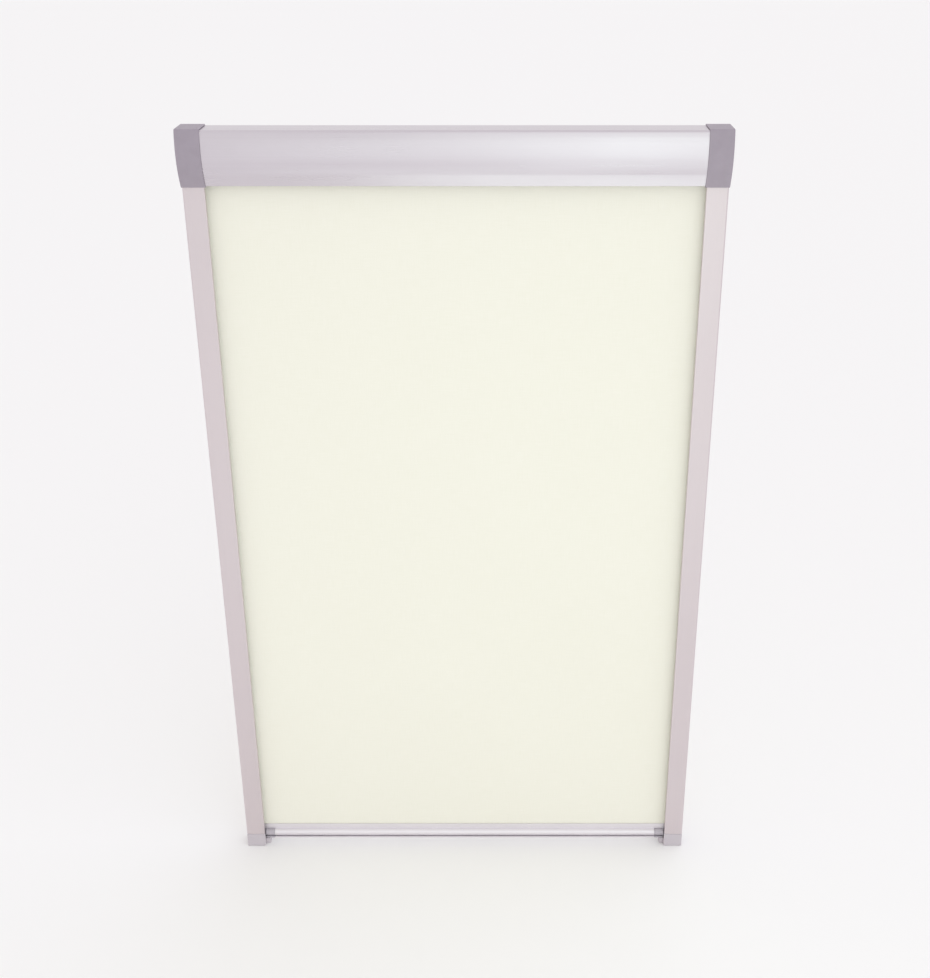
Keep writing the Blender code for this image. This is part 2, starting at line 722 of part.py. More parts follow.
def roller_tube():
    outer = notched_circle(TUBE_RADIUS, KEY_RADIUS, KEYWAY_WIDTH)
    inner = notched_circle(TUBE_RADIUS - TUBE_WALL, KEY_RADIUS - TUBE_WALL, KEYWAY_WIDTH + 2 * TUBE_WALL)
    length = WIDTH - 2 * TUBE_END_REACH
    turn = Matrix.Translation((0, -ROLLER_DEPTH, ROLLER_HEIGHT)) @ across()
    tube = prism("roller_tube", [outer, inner], length, turn, "tube")
    half = KEYWAY_WIDTH / 2 - GAP
    spline_outline = [(-half, KEY_RADIUS + GAP), (half, KEY_RADIUS + GAP),
                      (half, TUBE_RADIUS - GAP), (-half, TUBE_RADIUS - GAP)]
    cloth_length = WIDTH - 2 * CLOTH_EDGE_REACH
    key = prism("roller_spline", [spline_outline], cloth_length, turn, "nylon")
    wraps = prism("cloth_wraps", [circle((0, 0), WRAPS_RADIUS, 40), circle((0, 0), TUBE_RADIUS + GAP, 40)],
                  cloth_length, turn, "cloth")
    return [tube, key, wraps]


def tube_plug(name, profile, place, low, high, look):
    """A plug turned to the tube's bore and notched to clear the keyway's rib."""
    plug = turned(name, profile, place, look, bored=True)
    half = KEYWAY_WIDTH / 2 + TUBE_WALL + GAP
    across_rib = (KEY_RADIUS - TUBE_WALL - GAP, TUBE_RADIUS + TUBE_WALL)
    notch = box(name + "_notch", across_rib, (-half, half), (low, high))
    notch.matrix_world = place @ notch.matrix_world
    cut(plug, notch)
    return plug


def end_plug(name, side, bore):
    """The plug at a tube end: a flange outside the tube and a body inside it."""
    body = TUBE_RADIUS - TUBE_WALL - GAP
    flange = TUBE_END_REACH - GAP
    inside_end = TUBE_END_REACH + PLUG_LENGTH
    profile = [(bore, inside_end), (body, inside_end), (body, flange), (TUBE_RADIUS, flange),
               (TUBE_RADIUS, flange - PLUG_FLANGE), (bore, flange - PLUG_FLANGE)]
    return tube_plug(name, profile, axle(side), flange, inside_end + GAP, "nylon")


def spring_motor():
    """Shaft, collar, torsion spring and the driver plug that turns with the tube."""
    place = axle(LEFT)
    socket = CAP_END_WALL + BOSS_LENGTH
    spring_end = SPRING_START_REACH + SPRING_LENGTH
    driver_end = spring_end + GAP + DRIVER_LENGTH
    shaft_start = CAP_END_WALL + BOSS_FLOOR + GAP
    shaft = cylinder("spring_shaft", SHAFT_RADIUS, shaft_start, driver_end, place, "steel", 24)
    for word, direction in (("front", 1), ("rear", -1)):
        flat = box("shaft_flat_" + word, (-SHAFT_RADIUS - GAP, SHAFT_RADIUS + GAP),
                   (direction * SHAFT_FLAT / 2, direction * 2 * SHAFT_RADIUS), (0, socket))
        flat.matrix_world = place @ flat.matrix_world
        cut(shaft, flat)

    nose = SPRING_RADIUS - SPRING_WIRE / 2 - GAP
    collar = SPRING_RADIUS + SPRING_WIRE / 2
    bore = SHAFT_RADIUS + GAP
    face = SPRING_START_REACH - SPRING_WIRE / 2 - GAP
    profile = [(bore, face + NOSE_LENGTH), (nose, face + NOSE_LENGTH), (nose, face),
               (collar, face), (collar, face - COLLAR_THICKNESS), (bore, face - COLLAR_THICKNESS)]
    turned("spring_anchor", profile, place, "nylon", bored=True)
    coil("main_spring", SPRING_RADIUS, SPRING_WIRE, SPRING_TURNS,
         SPRING_START_REACH, spring_end, place, "steel")

    near = spring_end + SPRING_WIRE / 2 + GAP
    body = TUBE_RADIUS - TUBE_WALL - GAP
    profile = [(bore, near + DRIVER_LENGTH), (body, near + DRIVER_LENGTH), (body, near),
               (nose, near), (nose, near - NOSE_LENGTH), (bore, near - NOSE_LENGTH)]
    return tube_plug("spring_driver", profile, place, near - GAP, near + DRIVER_LENGTH + GAP, "nylon")


def roller():
    pieces = roller_tube()
    pieces.append(end_plug("spring_end_plug", LEFT, SHAFT_RADIUS + GAP))
    pieces.append(end_plug("idle_end_plug", RIGHT, PIN_RADIUS + GAP))
    pieces.append(spring_motor())
    start = CAP_END_WALL + BOSS_FLOOR + GAP
    cylinder("idle_pin", PIN_RADIUS, start, start + PIN_LENGTH, axle(RIGHT), "steel", 24)
    carry("roller_axis", (0, -ROLLER_DEPTH, ROLLER_HEIGHT), pieces)


# Side rails

def side_rail(side, word):
    length = RAIL_TOP - RAIL_BOTTOM
    middle = (RAIL_TOP + RAIL_BOTTOM) / 2
    rail = prism("side_rail_" + word, [rail_outline()], length, along_rail(side, middle), "rail")
    heights = RAIL_TOP - RAIL_HOLE_INSET, middle, RAIL_BOTTOM + RAIL_HOLE_INSET
    for name, height in zip(("top", "middle", "bottom"), heights):
        hole = cylinder(f"rail_hole_{word}_{name}", FIXING_HOLE_RADIUS, -RAIL_WALL, 2 * RAIL_WALL,
                        axle(side, 0, CLOTH_DEPTH, height), steps=24)
        cut(rail, hole)
    front = seal_outline(RAIL_FACE_WIDTH, RAIL_DEPTH - RAIL_WALL, STRIP_FRONT + GAP, -1)
    rear = seal_outline(RAIL_BACK_WIDTH, RAIL_BACK_WALL, STRIP_REAR - GAP, 1)
    for name, outline in (("front", front), ("back", rear)):
        prism(f"pile_seal_{word}_{name}", [outline], length - 2 * GAP, along_rail(side, middle), "pile")


def foot_cap(side, word):
    """A moulded cup that closes the rail's foot, with the ledge that stops the bar."""
    wall = RAIL_WALL + GAP + TONGUE_THICKNESS
    outer = RAIL_FACE_WIDTH + FOOT_CAP_PROUD
    cap = side_box("foot_cap_" + word, side, (0, outer), (0, RAIL_DEPTH + FOOT_CAP_PROUD),
                   (FOOT, FOOT_CAP_TOP), "foot")
    soften(cap, FOOT_CAP_EDGE)
    ledge_depth = BAR_REAR - LEDGE_REAR_ROOM, STRIP_FRONT + LIP_PROUD + LEDGE_FRONT_ROOM
    ledge = side_box("foot_ledge_" + word, side,
                     (outer - 2 * FOOT_CAP_EDGE, RAIL_FACE_WIDTH + LEDGE_REACH),
                     ledge_depth, (FOOT, LEDGE_TOP))
    soften(ledge, FOOT_CAP_EDGE / 2)
    tongue = side_box("foot_tongue_" + word, side, (RAIL_WALL + GAP, wall),
                      (TONGUE_SIDE_ROOM, RAIL_DEPTH - TONGUE_SIDE_ROOM),
                      (LEDGE_TOP, FOOT_CAP_TOP + TONGUE_LENGTH))
    hollow = side_box("foot_hollow_" + word, side, (wall, outer + wall),
                      (RAIL_BACK_WALL, RAIL_DEPTH - RAIL_WALL), (LEDGE_TOP, FOOT_CAP_TOP + RAIL_WALL))
    weld(cap, ledge)
    cut(cap, hollow)
    weld(cap, tongue)


# Bottom bar

def bar_profile():
    length = WIDTH - 2 * (GLIDER_END + GAP)
    section = [bar_outline(), chamber_outline(), weight_chamber_outline()]
    bar = prism("bar_profile", section, length, across(0, BAR_TOP), "bar")
    for side, word in SIDES:
        notch = side_box("bar_notch_" + word, side, (0, BAR_FACE_END + GAP), (0, 2 * RAIL_DEPTH),
                         (BAR_BOTTOM - BAR_HEIGHT, BAR_TOP - STRIP_HEIGHT))
        cut(bar, notch)
    rod_drop = STRIP_HEIGHT + KEYHOLE_DROP
    rod_radius = KEYHOLE_RADIUS - GAP
    rod_length = WIDTH - 2 * (BAR_FACE_END + 2 * GAP)
    rod_section = circle((CLOTH_DEPTH, -rod_drop), rod_radius, 14)
    rod = prism("hem_rod", [rod_section], rod_length, across(0, BAR_TOP), "nylon")
    return [bar, rod]


def bar_end(side, word):
    """Moulded end: a face with the bar's section, a plug in its chamber and the glider in the rail."""
    middle = side * (WIDTH / 2 - (BAR_FACE_START + BAR_FACE_END) / 2)
    end = prism("bar_end_" + word, [bar_end_outline()], BAR_END_FACE, across(middle, BAR_TOP), "glider")
    plug_root = BAR_END_FACE / 2
    plug_middle = side * (WIDTH / 2 - BAR_FACE_END - (BAR_END_PLUG - plug_root) / 2)
    plug = prism("bar_plug_" + word, [chamber_outline(GAP)], BAR_END_PLUG + plug_root,
                 across(plug_middle, BAR_TOP))
    strip_foot = BAR_TOP - STRIP_HEIGHT - GAP
    neck = side_box("bar_neck_" + word, side,
                    (GLIDER_END - GLIDER_EDGE * 2, BAR_FACE_START + BAR_END_FACE / 4),
                    (STRIP_REAR, STRIP_FRONT), (BAR_BOTTOM, strip_foot))
    glider_back = RAIL_BACK_WALL + GLIDER_ROOM
    glider_front = RAIL_DEPTH - RAIL_WALL - GLIDER_ROOM
    glider = side_box("bar_glider_" + word, side, (GLIDER_START, GLIDER_END),
                      (glider_back, glider_front), (BAR_BOTTOM, BAR_TOP))
    soften(glider, GLIDER_EDGE)
    weld(end, plug, neck, glider)

    pocket_reach = (GLIDER_START + POCKET_SIDE_WALL, GLIDER_END - POCKET_SIDE_WALL)
    pocket_z = (BAR_BOTTOM + POCKET_END_WALL, BAR_TOP - POCKET_END_WALL)
    pocket_floor = glider_back + POCKET_DEPTH
    pocket = side_box("bar_pocket_" + word, side, pocket_reach, (0, pocket_floor), pocket_z)
    cut(end, pocket)

    shoe_back = RAIL_BACK_WALL + GAP
    shoe_front = shoe_back + SHOE_THICKNESS
    shoe = side_box("brake_shoe_" + word, side, (pocket_reach[0] + GAP, pocket_reach[1] - GAP),
                    (shoe_back, shoe_front), (pocket_z[0] + GAP, pocket_z[1] - GAP), "felt")
    soften(shoe, SHOE_EDGE)
    pocket_middle = side * (WIDTH / 2 - sum(pocket_reach) / 2)
    place = Matrix.Translation((pocket_middle, 0, sum(pocket_z) / 2))
    place = place @ Matrix.Rotation(math.pi / 2, 4, "X")
    stem_radius = BRAKE_RADIUS - BRAKE_WIRE / 2 - GAP
    stem = cylinder("brake_stem_" + word, stem_radius, shoe_front - SHOE_EDGE,
                    shoe_front + SHOE_STEM, place, steps=20)
    weld(shoe, stem)
    spring = coil("brake_spring_" + word, BRAKE_RADIUS, BRAKE_WIRE, BRAKE_TURNS,
                  shoe_front + GAP + BRAKE_WIRE / 2, pocket_floor - GAP - BRAKE_WIRE / 2,
                  place, "steel", per_turn=8)
    return [end, shoe, spring]


def bottom_bar():
    pieces = bar_profile()
    for side, word in SIDES:
        pieces += bar_end(side, word)
    carry("bar_slide_axis", (0, -CLOTH_DEPTH, BAR_BOTTOM), pieces)


def cloth_sheet():
    """The taut cloth: full width in the rails, with a narrower tail that goes down to the hem rod."""
    half = WIDTH / 2 - CLOTH_EDGE_REACH
    tail = WIDTH / 2 - BAR_FACE_END - 2 * GAP
    hem = BAR_TOP - STRIP_HEIGHT - KEYHOLE_DROP + KEYHOLE_RADIUS
    shoulder = BAR_TOP + GAP
    outline = [(-half, ROLLER_HEIGHT), (half, ROLLER_HEIGHT), (half, shoulder), (tail, shoulder),
               (tail, hem), (-tail, hem), (-tail, shoulder), (-half, shoulder)]
    place = Matrix.Translation((0, -CLOTH_DEPTH, 0)) @ Matrix.Rotation(math.pi / 2, 4, "X")
    prism("cloth_sheet", [outline], CLOTH_THICKNESS, place, "cloth")


headbox_back_profile()
headbox_cover()
roller()
bottom_bar()
cloth_sheet()
for blind_side, side_word in SIDES:
    end_cap(blind_side, side_word)
    side_rail(blind_side, side_word)
    foot_cap(blind_side, side_word)
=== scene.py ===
import json
import math
import random

import bmesh
import bpy
from mathutils import Matrix, Vector

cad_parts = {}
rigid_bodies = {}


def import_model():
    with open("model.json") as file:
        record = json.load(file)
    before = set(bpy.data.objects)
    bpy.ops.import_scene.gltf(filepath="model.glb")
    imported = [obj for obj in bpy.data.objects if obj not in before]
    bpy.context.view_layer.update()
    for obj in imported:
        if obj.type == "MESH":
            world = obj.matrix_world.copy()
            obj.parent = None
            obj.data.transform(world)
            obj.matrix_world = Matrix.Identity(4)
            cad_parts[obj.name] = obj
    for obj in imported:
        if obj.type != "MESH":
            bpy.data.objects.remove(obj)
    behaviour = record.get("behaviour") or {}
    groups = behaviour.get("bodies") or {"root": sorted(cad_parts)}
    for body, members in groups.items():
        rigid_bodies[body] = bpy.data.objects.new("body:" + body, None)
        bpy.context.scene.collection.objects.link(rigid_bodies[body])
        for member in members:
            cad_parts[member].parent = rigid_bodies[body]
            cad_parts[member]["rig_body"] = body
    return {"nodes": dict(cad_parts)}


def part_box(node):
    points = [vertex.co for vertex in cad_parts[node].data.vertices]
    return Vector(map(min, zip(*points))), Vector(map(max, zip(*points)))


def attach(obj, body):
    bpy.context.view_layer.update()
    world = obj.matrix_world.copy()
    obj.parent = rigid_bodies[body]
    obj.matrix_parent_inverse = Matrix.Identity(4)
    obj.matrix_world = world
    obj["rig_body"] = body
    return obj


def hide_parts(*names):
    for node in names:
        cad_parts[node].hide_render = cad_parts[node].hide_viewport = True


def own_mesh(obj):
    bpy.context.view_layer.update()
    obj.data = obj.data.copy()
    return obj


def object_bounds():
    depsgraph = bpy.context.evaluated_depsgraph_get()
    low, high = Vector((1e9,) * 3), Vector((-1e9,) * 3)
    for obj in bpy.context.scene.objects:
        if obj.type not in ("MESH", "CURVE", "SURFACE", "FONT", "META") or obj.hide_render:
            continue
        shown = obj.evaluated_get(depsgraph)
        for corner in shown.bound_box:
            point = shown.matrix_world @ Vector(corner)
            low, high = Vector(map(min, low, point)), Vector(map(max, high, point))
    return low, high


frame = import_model()
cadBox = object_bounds()
print("frame loaded:", len(frame["nodes"]), "nodes")

mm = 0.001
sides = ((-1, "left"), (1, "right"))


# Camera, light and floor

camera = {
    "place": (0.0487, -1.491, 0.2735),
    "pitchDown": 24.76,  # degrees
    "lens": 48.22,
    "sensorWidth": 36,
    "shiftX": -0.035,  # the picture's middle lies a little to one side of the lens's axis
    "clipStart": 0.01,
    "clipEnd": 100,
}


def makeCamera():
    data = bpy.data.cameras.new("view")
    data.lens = camera["lens"]
    data.sensor_width = camera["sensorWidth"]
    data.shift_x = camera["shiftX"]
    data.clip_start = camera["clipStart"]
    data.clip_end = camera["clipEnd"]
    view = bpy.data.objects.new("view", data)
    view.location = camera["place"]
    view.rotation_euler = (math.radians(90 - camera["pitchDown"]), 0, 0)
    bpy.context.scene.collection.objects.link(view)
    bpy.context.scene.camera = view


def linear(text):  # sRGB hex to a linear colour
    values = [int(text[i:i + 2], 16) / 255 for i in (1, 3, 5)]
    return [v / 12.92 if v <= 0.04045 else ((v + 0.055) / 1.055) ** 2.4 for v in values] + [1.0]


# Sockets given by number below: a Map Range reads from 1 to 2 and gives 3 to 4. A Mix has its share at 0,
# two numbers at 2 and 3 or two colours at 6 and 7, and gives a number at 0 or a colour at 2.

def addNode(tree, kind, inputs=None, links=None, **settings):
    node = tree.nodes.new(kind)
    for name, value in settings.items():
        setattr(node, name, value)
    for socket, value in (inputs or {}).items():
        node.inputs[socket].default_value = value
    for socket, source in (links or {}).items():
        tree.links.new(source, node.inputs[socket])
    return node


studio = {
    "floorColour": "#f6f5f4",
    "floorRoughness": 0.9,
    "floorSpecular": 0.1,
    "floorReach": 30,  # metres each way
    "floorGap": 0.3 * mm,
    "backdropColour": "#f6f5f5",
    "leftColour": "#fffbfa",
    "rightColour": "#fafbff",
    "sideways": {1: -0.34, 2: 0.14, 3: 0, 4: 1},  # from the studio's left to its right
    "levels": {1: 0, 2: 1, 3: 0.76, 4: 1.08},  # it is a little dimmer and warmer on the left
    "overhead": {1: 0.05, 2: 0.6, 3: 1.0, 4: 1.11},  # and a little brighter overhead
    "lampColour": "#e8fff1",
}

lamps = {  # places and sizes in metres, power in watts, spread in degrees
    "softbox": {"place": (0.38, -1.4, -0.11), "aim": (0.1, 0, -0.1),
                "size": (0.5, 0.95), "power": 0.68, "spread": 180},
    "wideFill": {"place": (0.1, -1.42, -0.22), "aim": (0.1, 0, -0.1),
                 "size": (1.1, 0.85), "power": 0.74, "spread": 180},
    "lowFill": {"place": (0.38, -0.42, -0.93), "aim": (0.3, -0.031, -0.026),  # the headbox's lower lip
                "size": (1.1, 0.24), "power": 0.066, "spread": 50},
    "midFill": {"place": (0.0, -0.75, -0.66), "aim": (0.05, -0.02, -0.5),  # the cloth's middle
                "size": (0.7, 0.2), "power": 0.055, "spread": 100},
    "topFill": {"place": (0.32, -1.4, 0.33), "aim": (0.1, 0, 0),  # the upper part of the headbox's front
                "size": (0.92, 0.56), "power": 0.396, "spread": 180},
    "creaseFill": {"place": (0.32, -0.75, -0.455), "aim": (0.24, -0.031, -0.02),  # just above the lip
                   "size": (0.42, 0.08), "power": 0.0022, "spread": 26},
}


def makeWorld():
    world = bpy.data.worlds.new("studio")
    bpy.context.scene.world = world
    world.use_nodes = True
    tree = world.node_tree
    tree.nodes.clear()
    direction = addNode(tree, "ShaderNodeTexCoord").outputs["Generated"]
    parts = addNode(tree, "ShaderNodeSeparateXYZ", links={0: direction})
    side = addNode(tree, "ShaderNodeMapRange", studio["sideways"], {0: parts.outputs["X"]},
                   interpolation_type="SMOOTHSTEP")
    tint = addNode(tree, "ShaderNodeMix",
                   {6: linear(studio["leftColour"]), 7: linear(studio["rightColour"])},
                   {0: side.outputs[0]}, data_type="RGBA")
    level = addNode(tree, "ShaderNodeMapRange", studio["levels"], {0: side.outputs[0]})
    overhead = addNode(tree, "ShaderNodeMapRange", studio["overhead"], {0: parts.outputs["Z"]},
                       interpolation_type="SMOOTHSTEP")
    strength = addNode(tree, "ShaderNodeMath", links={0: level.outputs[0], 1: overhead.outputs[0]},
                       operation="MULTIPLY")
    light = addNode(tree, "ShaderNodeBackground",
                    links={"Color": tint.outputs[2], "Strength": strength.outputs[0]})
    seen = addNode(tree, "ShaderNodeBackground",
                   {"Color": linear(studio["backdropColour"]), "Strength": 1})
    rays = addNode(tree, "ShaderNodeLightPath").outputs
    seenOrMirrored = addNode(tree, "ShaderNodeMath",
                             links={0: rays["Is Camera Ray"], 1: rays["Is Glossy Ray"]},
                             operation="MAXIMUM")
    shown = addNode(tree, "ShaderNodeMath",
                    links={0: seenOrMirrored.outputs[0], 1: rays["Is Transmission Ray"]},
                    operation="MAXIMUM")
    both = addNode(tree, "ShaderNodeMixShader",
                   links={0: shown.outputs[0], 1: light.outputs[0], 2: seen.outputs[0]})
    addNode(tree, "ShaderNodeOutputWorld", links={"Surface": both.outputs[0]})


def makeLamp(name, settings):
    lamp = bpy.data.lights.new(name, "AREA")
    lamp.shape = "RECTANGLE"
    lamp.size, lamp.size_y = settings["size"]
    lamp.energy = settings["power"]
    lamp.spread = math.radians(settings["spread"])
    lamp.color = linear(studio["lampColour"])[:3]
    box = bpy.data.objects.new(name, lamp)
    box.location = settings["place"]
    direction = Vector(settings["aim"]) - box.location
    box.rotation_euler = direction.to_track_quat("-Z", "Y").to_euler()
    box.visible_camera = False
    bpy.context.scene.collection.objects.link(box)


def makeFloor():
    bm = bmesh.new()
    bmesh.ops.create_grid(bm, x_segments=1, y_segments=1, size=studio["floorReach"])
    bmesh.ops.translate(bm, verts=bm.verts, vec=(0, 0, cadBox[0].z - studio["floorGap"]))
    mesh = bpy.data.meshes.new("floor")
    bm.to_mesh(mesh)
    bm.free()
    floor = bpy.data.objects.new("floor", mesh)
    material = bpy.data.materials.new("paintedFloor")  # matt paint: pale, with no reflection to speak of
    material.use_nodes = True
    shader = material.node_tree.nodes["Principled BSDF"]
    shader.inputs["Base Color"].default_value = linear(studio["floorColour"])
    shader.inputs["Roughness"].default_value = studio["floorRoughness"]
    shader.inputs["Specular IOR Level"].default_value = studio["floorSpecular"]
    mesh.materials.append(material)
    bpy.context.scene.collection.objects.link(floor)


makeCamera()
makeWorld()
for lampName, lampSettings in lamps.items():
    makeLamp(lampName, lampSettings)
makeFloor()
bpy.context.scene.view_settings.view_transform = "Standard"
print("camera, light and floor ready")


# Materials

noiseSpan = {1: 0.3, 2: 0.7}  # nearly all of a noise's values lie between these


def newMaterial(name):
    material = bpy.data.materials.new(name)
    material.use_nodes = True
    tree = material.node_tree
    return material, tree, tree.nodes["Principled BSDF"]


metal = {
    "lengthwise": 1.5,  # how often the die lines change along the metal, per metre
    "lines": {"Scale": 1, "Detail": 2, "Roughness": 0.6},
    "clouds": {"Scale": 11, "Detail": 3, "Roughness": 0.55},  # uneven etching, about 90 mm across
    "cloudShare": 0.45,
    "rubbed": {"Scale": 160, "Detail": 2},  # worn spots along the edges, about 6 mm
    "patches": {1: 0.42, 2: 0.62, 3: 0.15, 4: 0.75},
    "bareColour": "#f4f1f2",
    "bareRoughness": 0.22,
    "bump": {"Strength": 0.25, "Distance": 0.01 * mm},
}


def anodisedAluminium(name, dull, bright, along, lineWidth, roughness=(0.25, 0.36)):
    # extruded, etched and clear anodised: a silky metal with faint die lines along its length
    material, tree, shader = newMaterial(name)
    shader.inputs["Metallic"].default_value = 1
    scale = [metal["lengthwise"] if axis == along else 1 / lineWidth for axis in "XYZ"]
    place = addNode(tree, "ShaderNodeTexCoord").outputs["Object"]
    stretched = addNode(tree, "ShaderNodeMapping", {"Scale": scale}, {"Vector": place})
    lines = addNode(tree, "ShaderNodeTexNoise", metal["lines"], {"Vector": stretched.outputs[0]})
    clouds = addNode(tree, "ShaderNodeTexNoise", metal["clouds"], {"Vector": place})
    both = addNode(tree, "ShaderNodeMix", {0: metal["cloudShare"]},
                   {2: lines.outputs["Fac"], 3: clouds.outputs["Fac"]})
    body = addNode(tree, "ShaderNodeMix", {6: linear(dull), 7: linear(bright)},
                   {0: both.outputs[0]}, data_type="RGBA")
    worn = addNode(tree, "ShaderNodeAttribute", attribute_name="edgeWear")
    rubbed = addNode(tree, "ShaderNodeTexNoise", metal["rubbed"], {"Vector": place})
    patches = addNode(tree, "ShaderNodeMapRange", metal["patches"], {0: rubbed.outputs["Fac"]})
    bare = addNode(tree, "ShaderNodeMath", links={0: worn.outputs["Fac"], 1: patches.outputs[0]},
                   operation="MULTIPLY")
    colour = addNode(tree, "ShaderNodeMix", {7: linear(metal["bareColour"])},
                     {0: bare.outputs[0], 6: body.outputs[2]}, data_type="RGBA")
    tree.links.new(colour.outputs[2], shader.inputs["Base Color"])
    satin = addNode(tree, "ShaderNodeMapRange", {**noiseSpan, 3: roughness[0], 4: roughness[1]},
                    {0: both.outputs[0]})
    polished = addNode(tree, "ShaderNodeMix", {3: metal["bareRoughness"]},
                       {0: bare.outputs[0], 2: satin.outputs[0]})
    tree.links.new(polished.outputs[0], shader.inputs["Roughness"])
    bump = addNode(tree, "ShaderNodeBump", metal["bump"], {"Height": lines.outputs["Fac"]})
    tree.links.new(bump.outputs[0], shader.inputs["Normal"])
    return material


plastic = {
    "clouds": {"Scale": 60, "Detail": 3, "Roughness": 0.6},  # flow marks, 15 to 20 mm
    "rubbed": {"Scale": 220, "Detail": 2},  # worn spots along the edges, about 5 mm
    "pebbleDetail": 1,
    "smoother": 0.07,  # how far the roughness goes below and above its middle
    "rougher": 0.09,
    "bump": {"Strength": 0.5, "Distance": 0.04 * mm},
}


def mouldedPlastic(name, dark, light, edge, roughness=0.5, grain=0.7, ior=1.53):
    # injection moulded in a spark-eroded tool: an even matt skin with a fine pebbled grain
    material, tree, shader = newMaterial(name)
    shader.inputs["IOR"].default_value = ior
    place = addNode(tree, "ShaderNodeTexCoord").outputs["Object"]
    clouds = addNode(tree, "ShaderNodeTexNoise", plastic["clouds"], {"Vector": place})
    body = addNode(tree, "ShaderNodeMix", {6: linear(dark), 7: linear(light)},
                   {0: clouds.outputs["Fac"]}, data_type="RGBA")
    worn = addNode(tree, "ShaderNodeAttribute", attribute_name="edgeWear")
    rubbed = addNode(tree, "ShaderNodeTexNoise", plastic["rubbed"], {"Vector": place})
    bare = addNode(tree, "ShaderNodeMath", links={0: worn.outputs["Fac"], 1: rubbed.outputs["Fac"]},
                   operation="MULTIPLY")
    colour = addNode(tree, "ShaderNodeMix", {7: linear(edge)},
                     {0: bare.outputs[0], 6: body.outputs[2]}, data_type="RGBA")
    tree.links.new(colour.outputs[2], shader.inputs["Base Color"])
    pebbles = addNode(tree, "ShaderNodeTexNoise",  # the real 0.2 mm grain is drawn coarser, so that it shows
                      {"Scale": 1 / (grain * mm), "Detail": plastic["pebbleDetail"]}, {"Vector": place})
    skin = addNode(tree, "ShaderNodeMapRange",
                   {**noiseSpan, 3: roughness - plastic["smoother"], 4: roughness + plastic["rougher"]},
                   {0: pebbles.outputs["Fac"]})
    tree.links.new(skin.outputs[0], shader.inputs["Roughness"])
    bump = addNode(tree, "ShaderNodeBump", plastic["bump"], {"Height": pebbles.outputs["Fac"]})
    tree.links.new(bump.outputs[0], shader.inputs["Normal"])
    return material


fabric = {
    "ior": 1.46,
    "specular": 0.3,
    "roughness": 0.88,
    "threadScales": ((1100, 45, 1), (45, 1100, 1)),  # threads 0.4 mm apart are drawn 0.9 mm apart
    "threads": {"Scale": 1, "Detail": 1.5},
    "coating": {"Scale": 5, "Detail": 2},  # slow changes in the coating, about 200 mm
    "coatingShare": 0.3,
    "shades": {1: 0.5, 2: 1.2, 3: 0, 4: 1},
    "bump": {"Strength": 0.4, "Distance": 0.05 * mm},
}


def blackoutCloth(name, shade, tint):
    # polyester weave with an acrylic coating: matt, opaque, with faint slubs both ways
    material, tree, shader = newMaterial(name)
    shader.inputs["IOR"].default_value = fabric["ior"]
    shader.inputs["Specular IOR Level"].default_value = fabric["specular"]
    shader.inputs["Roughness"].default_value = fabric["roughness"]
    along = addNode(tree, "ShaderNodeUVMap", uv_map="cut").outputs[0]
    threads = []
    for scale in fabric["threadScales"]:
        stretched = addNode(tree, "ShaderNodeMapping", {"Scale": scale}, {"Vector": along})
        thread = addNode(tree, "ShaderNodeTexNoise", fabric["threads"], {"Vector": stretched.outputs[0]})
        threads.append(thread.outputs["Fac"])
    weave = addNode(tree, "ShaderNodeMath", links={0: threads[0], 1: threads[1]}, operation="ADD")
    coating = addNode(tree, "ShaderNodeTexNoise", fabric["coating"], {"Vector": along})
    mixed = addNode(tree, "ShaderNodeMix", {0: fabric["coatingShare"]},
                    {2: weave.outputs[0], 3: coating.outputs["Fac"]})
    share = addNode(tree, "ShaderNodeMapRange", fabric["shades"], {0: mixed.outputs[0]})
    colour = addNode(tree, "ShaderNodeMix", {6: linear(shade), 7: linear(tint)},
                     {0: share.outputs[0]}, data_type="RGBA")
    tree.links.new(colour.outputs[2], shader.inputs["Base Color"])
    bump = addNode(tree, "ShaderNodeBump", fabric["bump"], {"Height": weave.outputs[0]})
    tree.links.new(bump.outputs[0], shader.inputs["Normal"])
    return material


brush = {
    "roughness": 0.85,
    "specular": 0.2,
    "tufts": {"Scale": 900, "Detail": 2},  # specks about 1 mm across
}


def brushPile(name, dark, light):
    # polypropylene brush pile: dull, pale fibres with dark specks of shade between them
    material, tree, shader = newMaterial(name)
    shader.inputs["Roughness"].default_value = brush["roughness"]
    shader.inputs["Specular IOR Level"].default_value = brush["specular"]
    place = addNode(tree, "ShaderNodeTexCoord").outputs["Object"]
    tufts = addNode(tree, "ShaderNodeTexNoise", brush["tufts"], {"Vector": place})
    share = addNode(tree, "ShaderNodeMapRange", {**noiseSpan, 3: 0, 4: 1}, {0: tufts.outputs["Fac"]})
    colour = addNode(tree, "ShaderNodeMix", {6: linear(dark), 7: linear(light)},
                     {0: share.outputs[0]}, data_type="RGBA")
    tree.links.new(colour.outputs[2], shader.inputs["Base Color"])
    return material


plating = {
    "mottle": {"Scale": 700, "Detail": 3},  # spots about 1.4 mm across
    "smoothest": 0.22,
    "roughest": 0.4,
}


def platedSteel(name, dull, bright):
    # zinc-plated or drawn steel: a cool metal, slightly mottled
    material, tree, shader = newMaterial(name)
    shader.inputs["Metallic"].default_value = 1
    place = addNode(tree, "ShaderNodeTexCoord").outputs["Object"]
    mottle = addNode(tree, "ShaderNodeTexNoise", plating["mottle"], {"Vector": place})
    colour = addNode(tree, "ShaderNodeMix", {6: linear(dull), 7: linear(bright)},
                     {0: mottle.outputs["Fac"]}, data_type="RGBA")
    tree.links.new(colour.outputs[2], shader.inputs["Base Color"])
    satin = addNode(tree, "ShaderNodeMapRange",
                    {**noiseSpan, 3: plating["smoothest"], 4: plating["roughest"]},
                    {0: mottle.outputs["Fac"]})
    tree.links.new(satin.outputs[0], shader.inputs["Roughness"])
    return material


